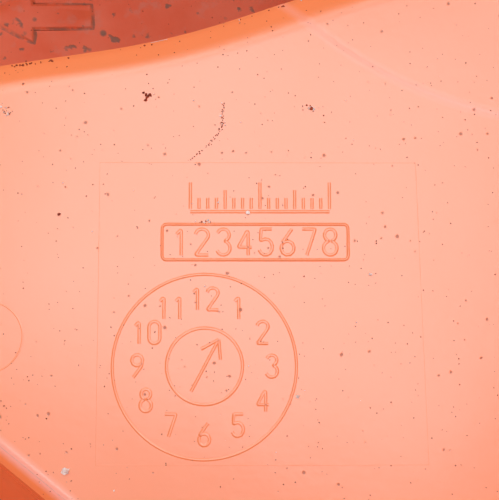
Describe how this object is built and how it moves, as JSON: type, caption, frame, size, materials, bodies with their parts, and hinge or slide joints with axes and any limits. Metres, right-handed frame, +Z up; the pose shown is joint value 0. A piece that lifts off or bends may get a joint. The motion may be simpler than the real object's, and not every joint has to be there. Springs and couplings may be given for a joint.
{
  "type": "drainage inspection chamber base",
  "caption": "Round moulded plastic drainage chamber base with a riser socket, a through channel, angled side inlets and sloping benching.",
  "frame": {"origin": "middle of the base ring's underside, straight below the middle of the chamber", "axes": "+Z up along the riser, +X along the main channel towards its inlet, so the flow runs to -X"},
  "size_m": [0.432, 0.495, 0.254],
  "materials": {
    "body_pvc": "glossy moulded terracotta PVC-U",
    "seal_rubber": "black moulded rubber"
  },
  "bodies": {
    "root": {"chamber_base": "body_pvc", "inlet_seal": "seal_rubber", "outlet_seal": "seal_rubber", "right_branch_seal": "seal_rubber", "left_branch_seal": "seal_rubber", "riser_seal": "seal_rubber"}
  },
  "joints": []
}
